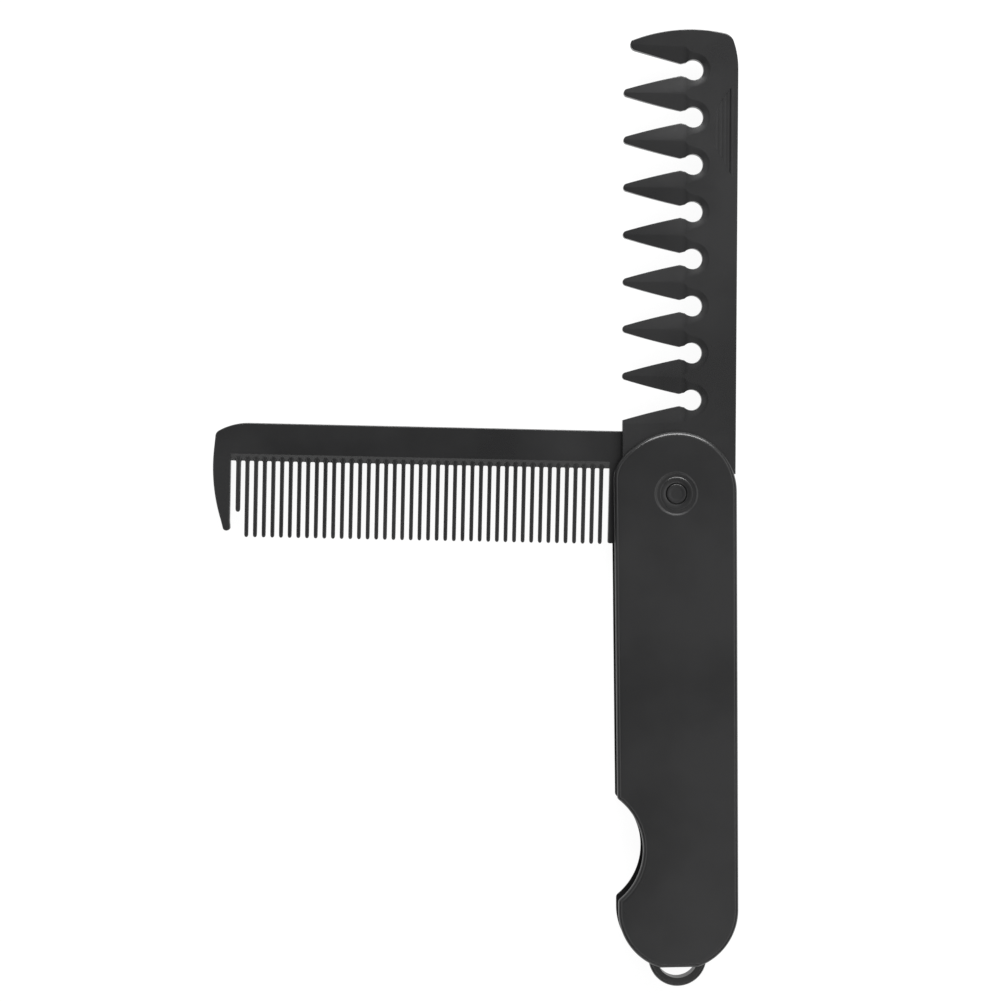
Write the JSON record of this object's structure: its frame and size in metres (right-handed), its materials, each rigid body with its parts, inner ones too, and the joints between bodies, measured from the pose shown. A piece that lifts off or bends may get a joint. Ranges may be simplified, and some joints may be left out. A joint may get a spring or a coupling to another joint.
{
  "type": "folding comb",
  "caption": "Folding pocket comb: a wide-tooth comb and a fine-tooth comb turn out of a slotted handle with a thumb notch and a small hanging loop.",
  "frame": {"origin": "middle of the handle's flat back face, halfway between the pivot and the foot of the handle", "axes": "+Y along the handle towards the pivot and the open wide comb, +Z out of the front face, +X towards the combs' backs"},
  "size_m": [0.1264, 0.23, 0.0076],
  "materials": {
    "handle_plastic": "satin black moulding",
    "pin_plastic": "satin black moulding",
    "wide_comb_plastic": "satin black moulding",
    "fine_comb_plastic": "satin black moulding"
  },
  "bodies": {
    "handle": {"handle": "handle_plastic", "pivot_pin": "pin_plastic"},
    "wide_comb": {"wide_comb": "wide_comb_plastic"},
    "fine_comb": {"fine_comb": "fine_comb_plastic"}
  },
  "joints": [
    {"name": "wide_comb_hinge", "type": "hinge", "parent": "handle", "child": "wide_comb", "pos_m": [0.00012, 0.05, 0.005], "axis": [0, 0, 1], "range_deg": [0, 180.6]},
    {"name": "fine_comb_hinge", "type": "hinge", "parent": "handle", "child": "fine_comb", "pos_m": [0.00012, 0.05, 0.0026], "axis": [0, 0, 1], "range_deg": [-89, 91.7]}
  ]
}
